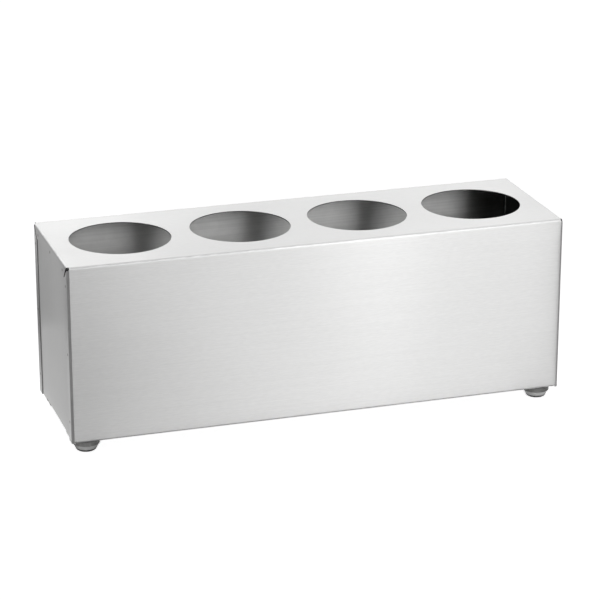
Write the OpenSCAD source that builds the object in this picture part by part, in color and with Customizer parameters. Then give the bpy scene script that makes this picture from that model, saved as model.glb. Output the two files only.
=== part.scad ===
// Counter-top holder for hanging cutlery containers: a folded sheet hood, an end panel
// spot-welded behind the hood's tabs at each end, and four screwed-on feet.
// Millimetres. +Z is up, the front faces -Y, and the origin is on the floor under the middle.

/* [Body] */
// Length over the folded tabs
body_length = 500; // [480:1:560]
// Depth from the front face to the rear face
body_depth = 149; // [140:1:180]
// Height of the folded body above its feet
body_height = 177; // [140:1:220]
// Thickness of the stainless sheet
sheet = 1; // [0.8:0.1:1.5]
// Inside radius of every bend
bend_inner = 1.5; // [1:0.1:2.5]

/* [Container holes] */
// Number of holes for cutlery containers
hole_count = 4; // [2:1:4]
// Diameter of each hole
hole_d = 99; // [80:0.5:105]
// Distance from each end to the centre of the outermost hole
hole_end = 69.25; // [62:0.25:75]

/* [End tabs] */
// Width of the tabs folded over each end panel
tab_width = 13; // [10:0.5:16]
// Width of the slit between two mitred tabs, at its inner end
mitre_gap = 1.7; // [1:0.1:3]
// How much further the slit opens along the top edge
mitre_flare = 2; // [0:0.5:3]
// Gap at each corner beside the bend along the top
corner_notch = 1.3; // [0.5:0.1:2]
// Corner clipped off each end panel
corner_clip = 2; // [1:0.5:6]
// Number of spot welds along each tab
weld_count = 3; // [2:1:4]
// Distance from the body's edges to the outermost spot welds
weld_inset = 20; // [18:0.5:30]
// Diameter of a spot weld's dimple
weld_d = 4; // [3:0.5:5]
// Depth of a spot weld's dimple
weld_depth = 0.2; // [0.1:0.05:0.3]

/* [Bottom flanges] */
// Width of the front and rear flanges, which carry the feet
flange_width = 30; // [29.5:0.5:36]
// Width of the flange under each end panel
end_flange_width = 15; // [10:0.5:24]
// Width of the relief slit at the end of a flange
relief_slit = 0.8; // [0.5:0.1:1.2]

/* [Feet] */
// Diameter of the foot's upper ring
foot_d = 26; // [22:0.5:26]
// Height of the foot
foot_height = 13; // [11:0.5:18]
// Height of the upper ring
foot_ring = 6; // [4:0.5:7]
// Diameter at the top of the foot's cone
cone_d = 25; // [20:0.5:25.5]
// Diameter of the cone at the floor, before its edge is rounded
cone_floor_d = 18.5; // [17:0.5:19.5]
// Radius of the foot's bottom edge
foot_edge = 3; // [1:0.5:3]
// Thickness of foot that each screw clamps
foot_seat = 5; // [4:0.5:6]
// Distance from the body's end to the foot's centre
foot_inset_x = 17; // [17:0.5:22]
// Distance from the body's face to the foot's centre
foot_inset_y = 16; // [15:0.5:16]

/* [Fasteners] */
// Thread diameter of the foot screws
screw_d = 4; // [3:0.5:4]

/* [Hidden] */
$fn = 96;

steel = "#c8cbcd";
zinc = "#b4b7b8";
clear_rubber = "#7d8286";

bend_outer = bend_inner + sheet;
half_length = body_length / 2;
half_depth = body_depth / 2;
hole_pitch = (body_length - 2 * hole_end) / (hole_count - 1);

// The two edges of a slit lie this far from the body's diagonal at its inner end, measured upright
mitre_drop = mitre_gap / sqrt(2);
tab_middle = (bend_outer + tab_width) / 2;
weld_ball = (pow(weld_d / 2, 2) + pow(weld_depth, 2)) / (2 * weld_depth);

// The flanges stop short of the corner bends, and of each other
flange_setback = 1.5;
flange_space = 2;
flange_length = body_length - 2 * (bend_outer + flange_setback);
end_flange_length = body_depth - 2 * (flange_width + flange_space);

// Room between an end panel's edges and the bends around it
panel_gap = 0.25;
panel_half = half_depth - bend_outer - panel_gap;
panel_top = body_height - bend_outer - panel_gap;
panel_lift = 0.3;

foot_x = half_length - foot_inset_x;
foot_y = half_depth - foot_inset_y;

// Fastener sizes follow the thread
screw_hole_d = screw_d + 0.5;
nut_bore_d = screw_d + 0.1;
head_d = 2 * screw_d;
head_height = 0.65 * screw_d;
head_dome = (pow(head_d / 2, 2) + pow(head_height, 2)) / (1.75 * head_height);
drive_slot = 0.25 * screw_d;
washer_d = 2.25 * screw_d;
washer_height = 0.2 * screw_d;
lock_d = 1.9 * screw_d;
lock_height = 0.225 * screw_d;
lock_split = 0.2 * screw_d;
nut_flats = 1.75 * screw_d;
nut_corner_d = nut_flats / cos(30);
nut_height = 0.8 * screw_d;
nut_chamfer = (nut_corner_d - nut_flats) / 2 * tan(30);
tip_proud = 1;
tip_chamfer = 0.125 * screw_d;

recess_d = washer_d + 1.6;
recess_depth = foot_height - foot_seat;
flange_top = foot_height + sheet;

// Evenly spaced places, centred on zero
function spread(count, span) = [for (i = [0 : count - 1]) span * (i / (count - 1) - 0.5)];

// Section of a right-angle bend, in the quarter where both coordinates are positive
module bend_section() {
    intersection() {
        difference() {
            circle(r = bend_outer);
            circle(r = bend_inner);
        }
        square(bend_outer);
    }
}

// Sections drawn as (depth, height), run along the body's length
module along_length(length) {
    rotate([90, 0, 90])
        linear_extrude(length, center = true)
            children();
}

// Sections drawn as (length, height), run along the body's depth
module along_depth(depth) {
    rotate([90, 0, 0])
        linear_extrude(depth, center = true)
            children();
}

module front_and_rear() {
    for (side = [0, 1])
        mirror([0, side, 0])
            children();
}

module both_ends() {
    for (side = [0, 1])
        mirror([side, 0, 0])
            children();
}

module at_feet() {
    for (x = [-foot_x, foot_x], y = [-foot_y, foot_y])
        translate([x, y, 0])
            children();
}

// Bend that joins the front wall to the top
module top_bend_section() {
    translate([-half_depth + bend_outer, body_height - bend_outer])
        rotate(90)
            bend_section();
}

// Flange under the front wall, with its bend
module flange_section() {
    translate([-half_depth + bend_outer, bend_outer])
        rotate(180)
            bend_section();
    translate([-half_depth + bend_outer, 0])
        square([flange_width - bend_outer, sheet]);
}

module top_sheet() {
    top_depth = body_depth - 2 * bend_outer;
    translate([-half_length + bend_outer, -top_depth / 2, body_height - sheet])
        cube([body_length - 2 * bend_outer, top_depth, sheet]);
}

// The wall runs straight down past both ends of the flange, parted from it by the relief slits
module front_wall() {
    difference() {
        along_length(body_length - 2 * bend_outer)
            translate([-half_depth, 0])
                square([sheet, body_height - bend_outer]);
        translate([-flange_length / 2 - relief_slit, -half_depth - sheet, -sheet])
            cube([flange_length + 2 * relief_slit, 3 * sheet, bend_outer + sheet]);
    }
    along_length(body_length - 2 * corner_notch)
        top_bend_section();
    along_length(flange_length)
        flange_section();
}

// Tab from the front wall over the left end, its top cut along the mitre
module front_tab() {
    intersection() {
        linear_extrude(body_height - bend_outer) {
            translate([-half_length + bend_outer, -half_depth + bend_outer])
                rotate(180)
                    bend_section();
            translate([-half_length, -half_depth + bend_outer])
                square([sheet, tab_width - bend_outer]);
        }
        along_length(body_length)
            polygon([
                [-half_depth, 0],
                [-half_depth + tab_width, 0],
                [-half_depth + tab_width, body_height - tab_width - mitre_drop],
                [-half_depth, body_height - mitre_drop]
            ]);
    }
}

// Tab from the top over the left end, mitred at front and rear
module top_tab() {
    intersection() {
        along_depth(body_depth - 2 * bend_outer) {
            translate([-half_length + bend_outer, body_height - bend_outer])
                rotate(90)
                    bend_section();
            translate([-half_length, body_height - tab_width])
                square([sheet, tab_width - bend_outer]);
        }
        along_length(body_length)
            polygon([
                [-half_depth + mitre_drop + mitre_flare, body_height],
                [half_depth - mitre_drop - mitre_flare, body_height],
                [half_depth - mitre_drop - tab_width, body_height - tab_width],
                [-half_depth + mitre_drop + tab_width, body_height - tab_width]
            ]);
    }
}

module weld_dimple(y, z) {
    translate([-half_length + weld_depth - weld_ball, y, z])
        sphere(r = weld_ball);
}

// Spot welds down the middle of the three tabs of the left end
module weld_dimples() {
    for (z = spread(weld_count, body_height - 2 * weld_inset), side = [-1, 1])
        weld_dimple(side * (half_depth - tab_middle), body_height / 2 + z);
    for (y = spread(weld_count, body_depth - 2 * weld_inset))
        weld_dimple(y, body_height - tab_middle);
}

module container_holes() {
    for (x = spread(hole_count, hole_pitch * (hole_count - 1)))
        translate([x, 0, body_height - 2 * sheet])
            cylinder(h = 3 * sheet, d = hole_d);
}

module hood() {
    color(steel)
        translate([0, 0, foot_height])
            difference() {
                union() {
                    top_sheet();
                    front_and_rear()
                        front_wall();
                    both_ends() {
                        top_tab();
                        front_and_rear()
                            front_tab();
                    }
                }
                container_holes();
                both_ends()
                    weld_dimples();
                at_feet()
                    translate([0, 0, -sheet])
                        cylinder(h = 3 * sheet, d = screw_hole_d);
            }
}

// Flat part of the left end panel, drawn as (depth, height)
module panel_outline() {
    difference() {
        polygon([
            [-panel_half, panel_lift],
            [panel_half, panel_lift],
            [panel_half, panel_top - corner_clip],
            [panel_half - corner_clip, panel_top],
            [-panel_half + corner_clip, panel_top],
            [-panel_half, panel_top - corner_clip]
        ]);
        translate([-end_flange_length / 2 - relief_slit, 0])
            square([end_flange_length + 2 * relief_slit, bend_outer]);
    }
}

module end_panel() {
    color(steel)
        translate([-half_length + sheet, 0, foot_height]) {
            translate([sheet / 2, 0, 0])
                along_length(sheet)
                    panel_outline();
            along_depth(end_flange_length) {
                translate([bend_outer, bend_outer])
                    rotate(180)
                        bend_section();
                translate([bend_outer, 0])
                    square([end_flange_width - bend_outer, sheet]);
            }
        }
}

module end_panel_left() {
    end_panel();
}

module end_panel_right() {
    mirror([1, 0, 0])
        end_panel();
}

// Half section of a foot: a cone with a rounded bottom edge under a wider ring
module foot_section() {
    cone_height = foot_height - foot_ring;
    taper = atan2((cone_d - cone_floor_d) / 2, cone_height);
    edge_x = cone_floor_d / 2 - foot_edge * (1 - sin(taper)) / cos(taper);
    difference() {
        union() {
            translate([0, cone_height])
                square([foot_d / 2, foot_ring]);
            polygon([
                [0, 0],
                [edge_x, 0],
                [edge_x, foot_edge],
                [edge_x + foot_edge * cos(taper), foot_edge * (1 - sin(taper))],
                [cone_d / 2, cone_height],
                [0, cone_height]
            ]);
            translate([edge_x, foot_edge])
                circle(r = foot_edge);
        }
        square([recess_d / 2, recess_depth]);
        square([screw_hole_d / 2, foot_height]);
    }
}

module foot(x_side, y_side) {
    color(clear_rubber)
        translate([x_side * foot_x, y_side * foot_y, 0])
            rotate_extrude()
                foot_section();
}

module foot_front_left() {
    foot(-1, -1);
}

module foot_front_right() {
    foot(1, -1);
}

module foot_rear_left() {
    foot(-1, 1);
}

module foot_rear_right() {
    foot(1, 1);
}

// Flat ring around the axis, from height z up
module ring(outer_d, inner_d, z, height) {
    translate([0, 0, z])
        difference() {
            cylinder(h = height, d = outer_d);
            translate([0, 0, -height])
                cylinder(h = 3 * height, d = inner_d);
        }
}

// Pan-head screw, head down, with a crossed drive
module foot_screw() {
    head_top = recess_depth - washer_height;
    shank = flange_top + lock_height + nut_height + tip_proud - head_top;
    difference() {
        intersection() {
            translate([0, 0, head_top - head_height])
                cylinder(h = head_height, d = head_d);
            translate([0, 0, head_top - head_height + head_dome])
                sphere(r = head_dome);
        }
        for (turn = [0, 90])
            rotate(turn)
                translate([-head_d / 4, -drive_slot / 2, head_top - 1.5 * head_height])
                    cube([head_d / 2, drive_slot, head_height]);
    }
    translate([0, 0, head_top])
        cylinder(h = shank - tip_chamfer, d = screw_d);
    translate([0, 0, head_top + shank - tip_chamfer])
        cylinder(h = tip_chamfer, d1 = screw_d, d2 = screw_d - 2 * tip_chamfer);
}

module foot_screws() {
    color(zinc)
        at_feet()
            foot_screw();
}

module foot_washers() {
    color(zinc)
        at_feet()
            ring(washer_d, screw_hole_d, recess_depth - washer_height, washer_height);
}

module foot_lock_washers() {
    color(zinc)
        at_feet()
            difference() {
                ring(lock_d, nut_bore_d, flange_top, lock_height);
                translate([0, -lock_split / 2, flange_top - lock_height])
                    cube([lock_d, lock_split, 3 * lock_height]);
            }
}

// Round blank that takes the corners off both faces of a hexagon nut
module nut_blank() {
    rotate_extrude()
        polygon([
            [0, 0],
            [nut_flats / 2, 0],
            [nut_corner_d / 2, nut_chamfer],
            [nut_corner_d / 2, nut_height - nut_chamfer],
            [nut_flats / 2, nut_height],
            [0, nut_height]
        ]);
}

module foot_nuts() {
    color(zinc)
        at_feet()
            translate([0, 0, flange_top + lock_height])
                difference() {
                    intersection() {
                        cylinder(h = nut_height, d = nut_corner_d, $fn = 6);
                        nut_blank();
                    }
                    translate([0, 0, -nut_height])
                        cylinder(h = 3 * nut_height, d = nut_bore_d);
                }
}

hood();
end_panel_left();
end_panel_right();
foot_front_left();
foot_front_right();
foot_rear_left();
foot_rear_right();
foot_screws();
foot_washers();
foot_lock_washers();
foot_nuts();
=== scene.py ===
"""Looks of the cutlery holder: brushed stainless sheet, smoky clear feet and zinc-plated fasteners."""

import math

import bpy
from mathutils import Matrix, Vector


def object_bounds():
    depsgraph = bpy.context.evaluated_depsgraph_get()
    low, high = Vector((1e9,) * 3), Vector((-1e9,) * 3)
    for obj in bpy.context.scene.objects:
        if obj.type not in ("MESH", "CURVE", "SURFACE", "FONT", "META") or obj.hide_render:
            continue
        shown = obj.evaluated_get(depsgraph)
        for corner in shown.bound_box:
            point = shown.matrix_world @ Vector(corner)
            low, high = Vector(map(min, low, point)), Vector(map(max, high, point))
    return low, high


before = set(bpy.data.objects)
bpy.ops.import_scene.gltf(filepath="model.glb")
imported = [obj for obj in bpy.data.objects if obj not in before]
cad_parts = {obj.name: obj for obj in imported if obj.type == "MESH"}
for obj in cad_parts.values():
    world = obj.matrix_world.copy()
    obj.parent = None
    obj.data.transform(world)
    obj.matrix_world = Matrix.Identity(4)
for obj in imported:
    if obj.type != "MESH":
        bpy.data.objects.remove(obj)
cad_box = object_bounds()
LEFT, FRONT = cad_box[0].xy
RIGHT, REAR, TOP = cad_box[1]

SHEETS = ("hood", "end_panel_left", "end_panel_right")
FEET = ("foot_front_left", "foot_front_right", "foot_rear_left", "foot_rear_right")
FASTENERS = ("foot_screws", "foot_washers", "foot_lock_washers", "foot_nuts")

# Camera, fitted to the edges of the box and the outlines of the holes in the photograph
AZIMUTH = -17.508
ELEVATION = 19.586
ROLL = -0.016
DISTANCE = 2.5183
TARGET = Vector((0.0011, 0, 0.10684))
FOCAL_PIXELS = 2530.8
IMAGE_PIXELS = 600
SENSOR_MM = 36

# Studio light, on a scale where 1 comes out white. The sun stands on the camera's side, so that the shadow
# falls behind the holder. The floor glows for the camera, mirror images and glass, but not below the holder:
# the glow ends at its right and rear sides, and further in at its left and front
AMBIENT = 0.12
SUN_STRENGTH = 3.0
SUN_ANGLE = 6
SUN_TURN = -17.5
SUN_TILT = 70
FLOOR_SIZE = 40
FLOOR_COLOUR = (0.9, 0.9, 0.9, 1)
FLOOR_DROP = 0.0002
FLOOR_GLOW = 0.65
GLOW_INSET = Vector((0.028, 0.045, 0))
GLOW_FADE = 0.012
WHITE = (1, 1, 1, 1)

# Cards that lie flat: their heights on the floor around the holder, below it and at its front feet,
# the front and rear edges of those at the feet, and the rear edge of the dark one at the right foot
GROUND = 0.002
UNDER = -FLOOR_DROP / 2
FOOT = -FLOOR_DROP / 4
FOOT_FRONT = FRONT - 0.0185
FOOT_REAR = FRONT + 0.0335
SHADE_REAR = FRONT - 0.0025

# Dark flags close to the front's upright corners: the planes that they stand in, their front and lower edges
LEFT_FLAG = LEFT - 0.006
RIGHT_FLAG = RIGHT + 0.006
FRONT_FLAG = FRONT - 0.004
FLAG_EDGE = FRONT - 0.0215
FLAG_LOW = -0.01

# The tent's walls and ceiling: half its length and depth, and the heights of its lower edge and ceiling
TENT_X = 1.5
TENT_Y = 1.1
TENT_LOW = -0.1
TENT_HIGH = 1.8

# The tent of cards around the holder, which only its mirror images and its clear feet show:
# two opposite corners, softness of the edges, brightness
CARDS = {
    "ceiling": ((-TENT_X, -TENT_Y, TENT_HIGH), (TENT_X, TENT_Y, TENT_HIGH), 0.02, 0.84),
    "left_wall": ((-TENT_X, -TENT_Y, TENT_LOW), (-TENT_X, TENT_Y, TENT_HIGH), 0.02, 1.1),
    "right_wall": ((TENT_X, -TENT_Y, TENT_LOW), (TENT_X, TENT_Y, TENT_HIGH), 0.02, 0.9),
    "front_wall": ((-TENT_X, -TENT_Y, TENT_LOW), (TENT_X, -TENT_Y, TENT_HIGH), 0.02, 0.15),
    "rear_wall": ((-TENT_X, TENT_Y, TENT_LOW), (TENT_X, TENT_Y, TENT_HIGH), 0.02, 1.44),
    "front_softbox": ((-0.33, -1.05, 0.1), (1.4, -1.05, 1.3), 0.4, 2.36),
    "front_right_softbox": ((0.18, -1.02, 0.1), (1.4, -1.02, 1.3), 0.15, 2.38),
    "front_strip": ((0.32, -1.0, 0.1), (0.43, -1.0, 1.3), 0.05, 4.0),
    "front_left_ground": ((-0.6, -0.5, GROUND), (-0.04, -0.05, GROUND), 0.16, 0.4),
    "left_ground": ((-0.9, -0.3, GROUND), (LEFT, 0.7, GROUND), 0.03, 0.66),
    # Painted shade on the floor below the holder and at its front feet, and painted light below the right
    # foot
    "under_card": ((LEFT - 0.008, FRONT - 0.0155, UNDER), (RIGHT + 0.03, REAR + 0.0005, UNDER), 0.008, 0.03),
    "left_foot_card": ((LEFT - 0.012, FOOT_FRONT, FOOT), (LEFT + 0.041, FOOT_REAR, FOOT), 0.004, 0.02),
    "right_foot_card": ((RIGHT - 0.031, FRONT - 0.0015, FOOT), (RIGHT + 0.002, FOOT_REAR, FOOT), 0.004, 1.2),
    "right_foot_shade": ((RIGHT - 0.041, FOOT_FRONT, FOOT), (RIGHT + 0.012, SHADE_REAR, FOOT), 0.003, 0.02),
    "left_flag": ((LEFT_FLAG, FLAG_EDGE, FLAG_LOW), (LEFT_FLAG, FRONT + 0.0145, TOP + 0.07), 0.003, 0.28),
    "left_front_flag": ((LEFT - 0.008, FRONT_FLAG, FLAG_LOW), (LEFT + 0.0032, FRONT_FLAG, TOP + 0.03),
                        0.001, 0.28),
    "right_flag": ((RIGHT_FLAG, FLAG_EDGE, FLAG_LOW), (RIGHT_FLAG, FRONT + 0.0295, TOP - 0.001),
                   0.003, 0.38),
    "left_card": ((-0.40, -0.45, -0.05), (-0.40, 0.35, 0.32), 0.05, 0.6),
    "rear_left_card": ((-1.0, 0.28, -0.05), (LEFT - 0.012, 0.28, 0.20), 0.03, 0.12),
    "right_card": ((0.40, -0.45, -0.05), (0.40, 0.45, 0.32), 0.05, 0.95),
    "rear_left_softbox": ((-0.9, 1.05, 0.1), (0.25, 1.05, 1.6), 0.3, 2.25),
    "rear_right_softbox": ((0.4, 1.05, 0.1), (1.4, 1.05, 1.6), 0.3, 1.66),
}

# Form of the sheet: its thickness, the outer radius of its bends and the width of its tabs. At the open
# corners, how far the mitred cuts and the slits stray from the diagonal, and the size and depth of the notch
# above a slit, whose faces get painted shade
SHEET = 0.001
BEND = 0.0025
TAB = 0.014
MITRE = 0.005
SLIT = 0.002
CORNER = 0.0028
NOTCH = 0.00135

# Depths that tell the layers of sheet apart: within the outer sheet, behind it, and behind the middle of
# an end panel. A weld's dimple gets its colour between two small depths
OUTER_LAYER = SHEET * 1.1
INNER_LAYER = SHEET * 0.9
PANEL_LAYER = SHEET * 1.5
DIMPLE_DEPTHS = (0.00002, 0.00008)

# How far a face looks along an axis, from 0 to 1: at least this on an end, on a flat tab and on a mitred
# cut, at most this on a cut edge, and from a bend's start to its middle
END_FACING = 0.75
FLAT_FACING = 0.9
MITRE_FACING = 0.3
EDGE_FACING = 0.5
BEND_FACING = (0.97, 0.8)

# Brushed steel: colours outside and inside the body, the painted shade of the ends inside it, colours on
# bends and on cuts and marks, and the painted shade of the open corners and of the feet's rims and seams
STEEL_COLOUR = (0.675, 0.675, 0.672, 1)
STEEL_DARK = (0.625, 0.625, 0.622, 1)
MILL_COLOUR = (0.75, 0.75, 0.745, 1)
MILL_DARK = (0.64, 0.64, 0.635, 1)
INNER_END_SHADE = (0.04, 0.04, 0.04, 1)
RUBBED_COLOUR = (0.745, 0.745, 0.742, 1)
RIM_COLOUR = (0.20, 0.20, 0.20, 1)
EDGE_COLOUR = (0.36, 0.36, 0.36, 1)
WELD_COLOUR = (0.26, 0.25, 0.24, 1)
PAINTED_SHADE_COLOUR = (0.02, 0.02, 0.02, 1)

# Its grain and streaks, in noise cells per metre along and across the brushing, the share of the streaks
# outside and inside the body, the scales of its clouds and patches, and the part of each noise that is used
GRAIN = (150, 1500)
STREAKS = (8, 600)
STREAK_SHARE = 0.3
INNER_STREAK_SHARE = 0.6
CLOUD_SCALE = 14
PATCH_SCALE = 90
GRAIN_SPAN = (0.35, 0.65)
PATCH_SPAN = (0.4, 0.65)
WIDE_SPAN = (0.3, 0.7)

# Its roughness from cloud to cloud and from line to line, the changes on rubbed bends, inside the body
# and on cuts, and the strength and height of its bumps
STEEL_ROUGHNESS = (0.33, 0.37)
LINE_ROUGHNESS = (-0.02, 0.02)
RUBBED_CHANGE = -0.05
INSIDE_CHANGE = 0.06
CUT_CHANGE = 0.15
STEEL_BUMP = (0.25, 0.00002)

# Feet: the height at which their upper ring begins, that up to which their rims get painted shade,
# and that from which the seam below the sheet gets painted shade
RING_HEIGHT = 0.007
RIM_HEIGHT = 0.003
SEAM_HEIGHT = 0.0115
HEIGHT_BLUR = 0.0006
CLEAR_COLOUR = (0.58, 0.58, 0.575, 1)
SMOKY_COLOUR = (0.48, 0.48, 0.475, 1)
RING_COLOUR = (0.20, 0.20, 0.195, 1)
CLEARNESS = 0.5
RUBBER_IOR = 1.47
RUBBER_SPECULAR = 0.25
MOTTLE_SCALE = 350
SPECKLE_SCALE = 900
SHADE_SPAN = (0.2, 0.5)
SHADE_COVER = (0.8, 1)
RUBBER_ROUGHNESS = (0.08, 0.16)
SHADE_ROUGHNESS_CHANGE = 0.4
RUBBER_BUMP = (0.05, 0.00005)

# Fasteners: two tints of zinc, and the tint of their worn edges
ZINC_BLUE = (0.58, 0.60, 0.62, 1)
ZINC_YELLOW = (0.68, 0.67, 0.63, 1)
ZINC_WORN = (0.42, 0.42, 0.41, 1)
TINT_SCALE = 260
SPANGLE_SCALE = 1500
WEAR_RADIUS = 0.0004
WEAR_SAMPLES = 4
WEAR_FACING = (0.99, 0.85)
WEAR_SPAN = (0.35, 0.6)
ZINC_ROUGHNESS = (0.2, 0.36)
ZINC_BUMP = (0.2, 0.00003)


def add(tree, kind, inputs=None, **settings):
    """A new node; each of its inputs takes a constant or another node's output."""
    node = tree.nodes.new(kind)
    for name, value in settings.items():
        setattr(node, name, value)
    for name, value in (inputs or {}).items():
        fill(tree, node.inputs[name], value)
    return node


def fill(tree, socket, value):
    if isinstance(value, bpy.types.NodeSocket):
        tree.links.new(value, socket)
    else:
        socket.default_value = value


def feed(tree, shader, **sockets):
    """Fills the shader's inputs, named with underscores for spaces."""
    for name, value in sockets.items():
        fill(tree, shader.inputs[name.replace("_", " ")], value)


def calculate(tree, operation, a, b=0.0):
    return add(tree, "ShaderNodeMath", {0: a, 1: b}, operation=operation).outputs[0]


def calculate_vector(tree, operation, a, b=(0, 0, 0), output="Vector"):
    return add(tree, "ShaderNodeVectorMath", {0: a, 1: b}, operation=operation).outputs[output]


def above(tree, value, limit):
    """1 where the value is above the limit, and 0 elsewhere."""
    return calculate(tree, "GREATER_THAN", value, limit)


def below(tree, value, limit):
    """1 where the value is below the limit, and 0 elsewhere."""
    return calculate(tree, "LESS_THAN", value, limit)


def larger(tree, first, *others):
    """The largest of the values."""
    for other in others:
        first = calculate(tree, "MAXIMUM", first, other)
    return first


def all_of(tree, first, *others):
    """1 where every test gives 1."""
    for other in others:
        first = calculate(tree, "MULTIPLY", first, other)
    return first


def rescale(tree, value, low, high, to_low=0.0, to_high=1.0):
    """The value, clamped to low and high, on the scale from to_low to to_high."""
    inputs = {"Value": value, "From Min": low, "From Max": high, "To Min": to_low, "To Max": to_high}
    return add(tree, "ShaderNodeMapRange", inputs).outputs["Result"]


def blend(tree, factor, a, b):
    return add(tree, "ShaderNodeMix", {"Factor": factor, 2: a, 3: b}).outputs[0]


def blend_vectors(tree, factor, a, b):
    inputs = {"Factor": factor, 4: a, 5: b}
    return add(tree, "ShaderNodeMix", inputs, data_type="VECTOR").outputs[1]


def blend_colours(tree, factor, a, b):
    inputs = {"Factor": factor, 6: a, 7: b}
    return add(tree, "ShaderNodeMix", inputs, data_type="RGBA").outputs[2]


def noise(tree, vector, scale=1.0, detail=2.0):
    inputs = {"Vector": vector, "Scale": scale, "Detail": detail}
    return add(tree, "ShaderNodeTexNoise", inputs).outputs["Fac"]


def bumped(tree, height, strength, distance):
    """The direction of a surface with small bumps."""
    inputs = {"Height": height, "Strength": strength, "Distance": distance}
    return add(tree, "ShaderNodeBump", inputs).outputs["Normal"]


def split(tree, vector):
    return add(tree, "ShaderNodeSeparateXYZ", {0: vector}).outputs


def object_place(tree):
    return add(tree, "ShaderNodeTexCoord").outputs["Object"]


def face_normal(tree):
    return add(tree, "ShaderNodeNewGeometry").outputs["Normal"]


def new_material(name):
    """A node material with a bare Principled shader, and that shader's node."""
    material = bpy.data.materials.new(name)
    material.use_nodes = True
    tree = material.node_tree
    return material, tree, tree.nodes["Principled BSDF"]


def depths(tree, place):
    """How far a place lies in from the nearer end, from the nearer long side and from the top."""
    at = split(tree, place)
    return {
        "end": calculate(tree, "SUBTRACT", RIGHT, calculate(tree, "ABSOLUTE", at["X"])),
        "side": calculate(tree, "SUBTRACT", REAR, calculate(tree, "ABSOLUTE", at["Y"])),
        "top": calculate(tree, "SUBTRACT", TOP, at["Z"]),
    }


def grain_way(tree, depth, facing):
    """Two factors: 1 on the faces of the ends, and 1 on the tabs folded over them from front and rear."""
    on_end = above(tree, facing["X"], END_FACING)
    outermost = below(tree, depth["end"], SHEET / 2)
    beside = below(tree, depth["side"], depth["top"])
    return on_end, all_of(tree, on_end, outermost, beside)


def by_face(tree, ways, along_body, up_end, along_tab):
    on_end, on_tab = ways
    return blend_vectors(tree, on_tab, blend_vectors(tree, on_end, along_body, up_end), along_tab)


def brushed_lines(tree, place, ways):
    """Fine grain and long streaks, both along the brushing of each face."""
    lines = []
    for along, across in (GRAIN, STREAKS):
        scale = by_face(tree, ways, (along, across, across), (across, across, along),
                        (across, along, across))
        lines.append(noise(tree, calculate_vector(tree, "MULTIPLY", place, scale), detail=3))
    return lines


def cut_edges(tree, depth, facing):
    """Two factors: 1 on the cut edges of the tabs, and 1 on the rims of the holes."""
    inside = {way: above(tree, distance, BEND) for way, distance in depth.items()}
    tab = all_of(tree, below(tree, depth["end"], OUTER_LAYER), below(tree, facing["X"], EDGE_FACING),
                 inside["side"], inside["top"])
    rim = all_of(tree, below(tree, depth["top"], OUTER_LAYER), below(tree, facing["Z"], EDGE_FACING),
                 inside["end"], inside["side"])
    return tab, rim


def corner_shade(tree, depth, facing):
    """1 for painted shade on the tabs' mitred cuts, the panel behind the slits and the corner above each
    slit.
    """
    askew = calculate(tree, "ABSOLUTE", calculate(tree, "SUBTRACT", depth["side"], depth["top"]))
    further = larger(tree, depth["side"], depth["top"])
    on_folds = below(tree, depth["end"], BEND)
    cut = all_of(tree, on_folds, below(tree, askew, MITRE), above(tree, further, BEND),
                 above(tree, facing["Y"], MITRE_FACING), above(tree, facing["Z"], MITRE_FACING))
    behind = all_of(tree, on_folds, below(tree, askew, SLIT), below(tree, further, TAB),
                    above(tree, depth["end"], INNER_LAYER))
    notch_shade = all_of(tree, below(tree, depth["end"], NOTCH), below(tree, further, CORNER),
                  above(tree, depth["top"], SHEET))
    return larger(tree, cut, behind, notch_shade)


def weld_mark(tree, depth, facing):
    """1 in the dimples of the spot welds, the only places where a tab's flat face lies a little deeper."""
    return all_of(tree, below(tree, depth["end"], SHEET / 2), above(tree, depth["side"], BEND),
                  above(tree, depth["top"], BEND), above(tree, facing["X"], FLAT_FACING),
                  rescale(tree, depth["end"], *DIMPLE_DEPTHS))


def inner_face(tree, depth):
    """1 on the faces inside the body."""
    return all_of(tree, above(tree, depth["end"], PANEL_LAYER), above(tree, depth["side"], INNER_LAYER),
                  above(tree, depth["top"], INNER_LAYER))


def shaded_inner_ends(tree, depth, facing):
    """1 on the ends and on their bends, which get painted shade inside the body."""
    return larger(tree, above(tree, facing["X"], END_FACING), below(tree, depth["end"], BEND))


def on_bend(tree, facing):
    """1 in the middle of a bend, where the face turns from one axis to another, and 0 on the flats."""
    return rescale(tree, larger(tree, facing["X"], facing["Y"], facing["Z"]), *BEND_FACING)


def inner_colour(tree, depth, facing, patches, streaks):
    """Unbrushed sheet, patchy and streaked, with painted shade on the ends."""
    mottle = blend(tree, INNER_STREAK_SHARE, patches, rescale(tree, streaks, *GRAIN_SPAN))
    colour = blend_colours(tree, mottle, MILL_DARK, MILL_COLOUR)
    return blend_colours(tree, shaded_inner_ends(tree, depth, facing), colour, INNER_END_SHADE)


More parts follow.
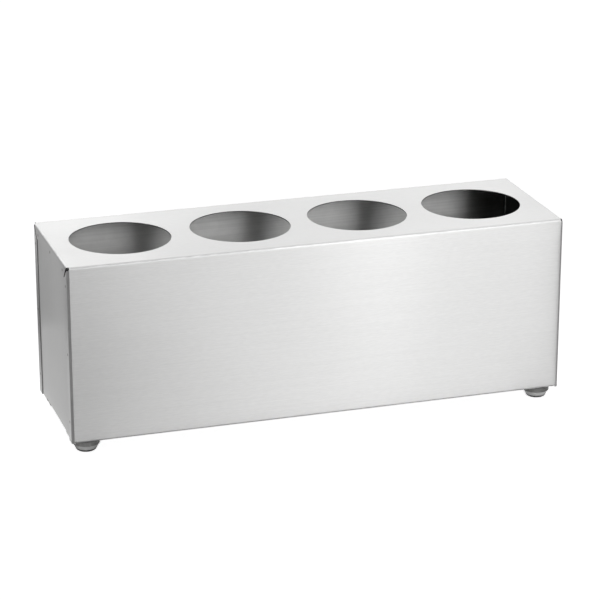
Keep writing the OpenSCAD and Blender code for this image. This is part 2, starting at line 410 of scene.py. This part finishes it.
def brushed_steel():
    """Stainless sheet with a fine straight grain, which follows the sheet round its folds."""
    material, tree, shader = new_material("brushed_steel")
    place = object_place(tree)
    normal = face_normal(tree)
    facing = split(tree, calculate_vector(tree, "ABSOLUTE", normal))
    depth = depths(tree, place)
    ways = grain_way(tree, depth, facing)
    grain, streaks = brushed_lines(tree, place, ways)
    brushed = blend(tree, STREAK_SHARE, grain, streaks)
    cloud = noise(tree, place, scale=CLOUD_SCALE, detail=3)
    patches = rescale(tree, noise(tree, place, scale=PATCH_SCALE, detail=4), *PATCH_SPAN)
    inside = inner_face(tree, depth)
    rubbed = calculate(tree, "MULTIPLY", on_bend(tree, facing), patches)
    tab_edge, hole_rim = cut_edges(tree, depth, facing)

    colour = blend_colours(tree, rescale(tree, brushed, *GRAIN_SPAN), STEEL_DARK, STEEL_COLOUR)
    layers = (
        (inside, inner_colour(tree, depth, facing, patches, streaks)),
        (weld_mark(tree, depth, facing), WELD_COLOUR),
        (rubbed, RUBBED_COLOUR),
        (tab_edge, EDGE_COLOUR),
        (hole_rim, RIM_COLOUR),
        # painted shade in the crevices of the open corners
        (corner_shade(tree, depth, facing), PAINTED_SHADE_COLOUR),
    )
    for cover, layer in layers:
        colour = blend_colours(tree, cover, colour, layer)

    roughness = calculate(tree, "ADD", rescale(tree, cloud, *WIDE_SPAN, *STEEL_ROUGHNESS),
                          rescale(tree, brushed, *WIDE_SPAN, *LINE_ROUGHNESS))
    cut = larger(tree, tab_edge, hole_rim)
    changes = ((rubbed, RUBBED_CHANGE), (inside, INSIDE_CHANGE), (cut, CUT_CHANGE))
    for cover, change in changes:
        roughness = calculate(tree, "ADD", roughness, calculate(tree, "MULTIPLY", cover, change))

    brushing = by_face(tree, ways, (1, 0, 0), (0, 0, 1), (0, 1, 0))
    feed(tree, shader, Base_Color=colour, Roughness=roughness, Normal=bumped(tree, brushed, *STEEL_BUMP),
         Tangent=calculate_vector(tree, "CROSS_PRODUCT", normal, brushing), Metallic=1.0, Anisotropic=1.0)
    return material


def above_height(tree, height, limit):
    """1 above the limit and 0 below it, with a soft change between them."""
    return rescale(tree, height, limit - HEIGHT_BLUR, limit + HEIGHT_BLUR)


def clear_rubber():
    """Smoky clear feet, softly mottled, darker in their upper ring, with painted shade at their rim and
    seam.
    """
    material, tree, shader = new_material("clear_rubber")
    place = object_place(tree)
    height = split(tree, place)["Z"]
    mottle = noise(tree, place, scale=MOTTLE_SCALE, detail=3)
    speckle = noise(tree, place, scale=SPECKLE_SCALE)
    # Painted shade: the bottom rim and the seam below the sheet are darkened, roughened and made less clear
    on_rim = calculate(tree, "SUBTRACT", 1.0, above_height(tree, height, RIM_HEIGHT))
    shaded_bands = larger(tree, on_rim, above_height(tree, height, SEAM_HEIGHT))
    painted_shade = calculate(tree, "MULTIPLY", shaded_bands, rescale(tree, speckle, *SHADE_SPAN, *SHADE_COVER))
    colour = blend_colours(tree, mottle, SMOKY_COLOUR, CLEAR_COLOUR)
    colour = blend_colours(tree, above_height(tree, height, RING_HEIGHT), colour, RING_COLOUR)
    colour = blend_colours(tree, painted_shade, colour, PAINTED_SHADE_COLOUR)
    roughness = calculate(tree, "ADD", rescale(tree, speckle, *WIDE_SPAN, *RUBBER_ROUGHNESS),
                          calculate(tree, "MULTIPLY", painted_shade, SHADE_ROUGHNESS_CHANGE))
    feed(tree, shader, Base_Color=colour, Roughness=roughness, Normal=bumped(tree, mottle, *RUBBER_BUMP),
         IOR=RUBBER_IOR, Specular_IOR_Level=RUBBER_SPECULAR,
         Transmission_Weight=rescale(tree, painted_shade, 0, 1, CLEARNESS, 0))
    return material


def zinc_plate():
    """Bright zinc plate with cloudy spangle and worn edges."""
    material, tree, shader = new_material("zinc_plate")
    place = object_place(tree)
    spangle = noise(tree, place, scale=SPANGLE_SCALE, detail=3)
    tint = noise(tree, place, scale=TINT_SCALE)
    rounded = add(tree, "ShaderNodeBevel", {"Radius": WEAR_RADIUS}, samples=WEAR_SAMPLES).outputs[0]
    flat = calculate_vector(tree, "DOT_PRODUCT", face_normal(tree), rounded, output="Value")
    worn = calculate(tree, "MULTIPLY", rescale(tree, flat, *WEAR_FACING), rescale(tree, spangle, *WEAR_SPAN))
    colour = blend_colours(tree, tint, ZINC_BLUE, ZINC_YELLOW)
    colour = blend_colours(tree, worn, colour, ZINC_WORN)
    feed(tree, shader, Base_Color=colour, Roughness=rescale(tree, spangle, *WIDE_SPAN, *ZINC_ROUGHNESS),
         Normal=bumped(tree, spangle, *ZINC_BUMP), Metallic=1.0)
    return material


def dress(names, material):
    for name in names:
        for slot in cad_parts[name].material_slots:
            slot.material = material


def seen_rays(tree):
    """1 for the rays that show a background: straight to the camera, mirrored or through glass."""
    path = add(tree, "ShaderNodeLightPath").outputs
    return larger(tree, path["Is Camera Ray"], path["Is Glossy Ray"], path["Is Transmission Ray"])


def make_world():
    world = bpy.data.worlds.new("studio")
    world.cycles.sampling_method = "NONE"
    world.use_nodes = True
    tree = world.node_tree
    strength = rescale(tree, seen_rays(tree), 0, 1, AMBIENT, 1)
    feed(tree, tree.nodes["Background"], Color=WHITE, Strength=strength)
    bpy.context.scene.world = world


def make_floor():
    """A white floor that glows at a distance from the part of it below the holder."""
    bpy.ops.mesh.primitive_plane_add(size=FLOOR_SIZE, location=(0, 0, -FLOOR_DROP))
    floor = bpy.context.object
    floor.name = "floor"
    material, tree, shader = new_material("white_floor")
    middle = GLOW_INSET / 2
    corner = Vector((RIGHT, REAR, 0)) - middle
    centred = calculate_vector(tree, "SUBTRACT", object_place(tree), middle)
    outside = calculate_vector(tree, "SUBTRACT", calculate_vector(tree, "ABSOLUTE", centred), corner)
    beyond = calculate_vector(tree, "MAXIMUM", outside)
    distance = calculate_vector(tree, "LENGTH", beyond, output="Value")
    glow = calculate(tree, "MULTIPLY", seen_rays(tree), rescale(tree, distance, 0, GLOW_FADE, 0, FLOOR_GLOW))
    feed(tree, shader, Base_Color=FLOOR_COLOUR, Roughness=1.0, Specular_IOR_Level=0.0,
         Emission_Color=WHITE, Emission_Strength=glow)
    floor.data.materials.append(material)


def card_material(name, low, high, axes, softness, level):
    """An even glow that fades out towards the card's edges."""
    material, tree, shader = new_material(name)
    tree.nodes.remove(shader)
    at = split(tree, object_place(tree))
    cover = 1.0
    for axis in axes:
        rising = rescale(tree, at[axis], low[axis], low[axis] + softness)
        falling = rescale(tree, at[axis], high[axis], high[axis] - softness)
        cover = all_of(tree, cover, rising, falling)
    clear = add(tree, "ShaderNodeBsdfTransparent").outputs[0]
    bright = add(tree, "ShaderNodeEmission", {"Strength": level}).outputs[0]
    mixed = add(tree, "ShaderNodeMixShader", {0: cover, 1: clear, 2: bright}).outputs[0]
    tree.links.new(mixed, tree.nodes["Material Output"].inputs["Surface"])
    return material


def make_card(name, low, high, softness, level):
    """An upright or level card that only mirror images and glass show."""
    flat = [a == b for a, b in zip(low, high)].index(True)
    first, second = [axis for axis in range(3) if axis != flat]
    corners = [list(low) for _ in range(4)]
    corners[1][first] = corners[2][first] = high[first]
    corners[2][second] = corners[3][second] = high[second]
    mesh = bpy.data.meshes.new(name)
    mesh.from_pydata(corners, [], [(0, 1, 2, 3)])
    mesh.materials.append(card_material(name, low, high, (first, second), softness, level))
    card = bpy.data.objects.new(name, mesh)
    bpy.context.scene.collection.objects.link(card)
    card.visible_camera = False
    card.visible_diffuse = False
    card.visible_shadow = False


def make_sun():
    lamp = bpy.data.lights.new("sun", "SUN")
    lamp.energy = SUN_STRENGTH
    lamp.angle = math.radians(SUN_ANGLE)
    sun = bpy.data.objects.new("sun", lamp)
    sun.rotation_euler = (math.radians(SUN_TILT), 0, math.radians(SUN_TURN))
    sun.visible_glossy = False
    bpy.context.scene.collection.objects.link(sun)


def make_camera():
    turn = math.radians(AZIMUTH)
    lift = math.radians(ELEVATION)
    back = Vector((math.sin(turn) * math.cos(lift), -math.cos(turn) * math.cos(lift), math.sin(lift)))
    right = Vector((math.cos(turn), math.sin(turn), 0))
    level = Matrix((right, back.cross(right), back)).transposed()
    rotation = level @ Matrix.Rotation(math.radians(ROLL), 3, "Z")
    lens = bpy.data.cameras.new("camera")
    lens.sensor_width = SENSOR_MM
    lens.lens = SENSOR_MM * FOCAL_PIXELS / IMAGE_PIXELS
    camera = bpy.data.objects.new("camera", lens)
    camera.matrix_world = Matrix.Translation(TARGET + DISTANCE * back) @ rotation.to_4x4()
    bpy.context.scene.collection.objects.link(camera)
    bpy.context.scene.camera = camera


dress(SHEETS, brushed_steel())
dress(FEET, clear_rubber())
dress(FASTENERS, zinc_plate())
make_world()
make_floor()
make_sun()
for name, values in CARDS.items():
    make_card(name, *values)
make_camera()
bpy.context.scene.view_settings.view_transform = "Standard"
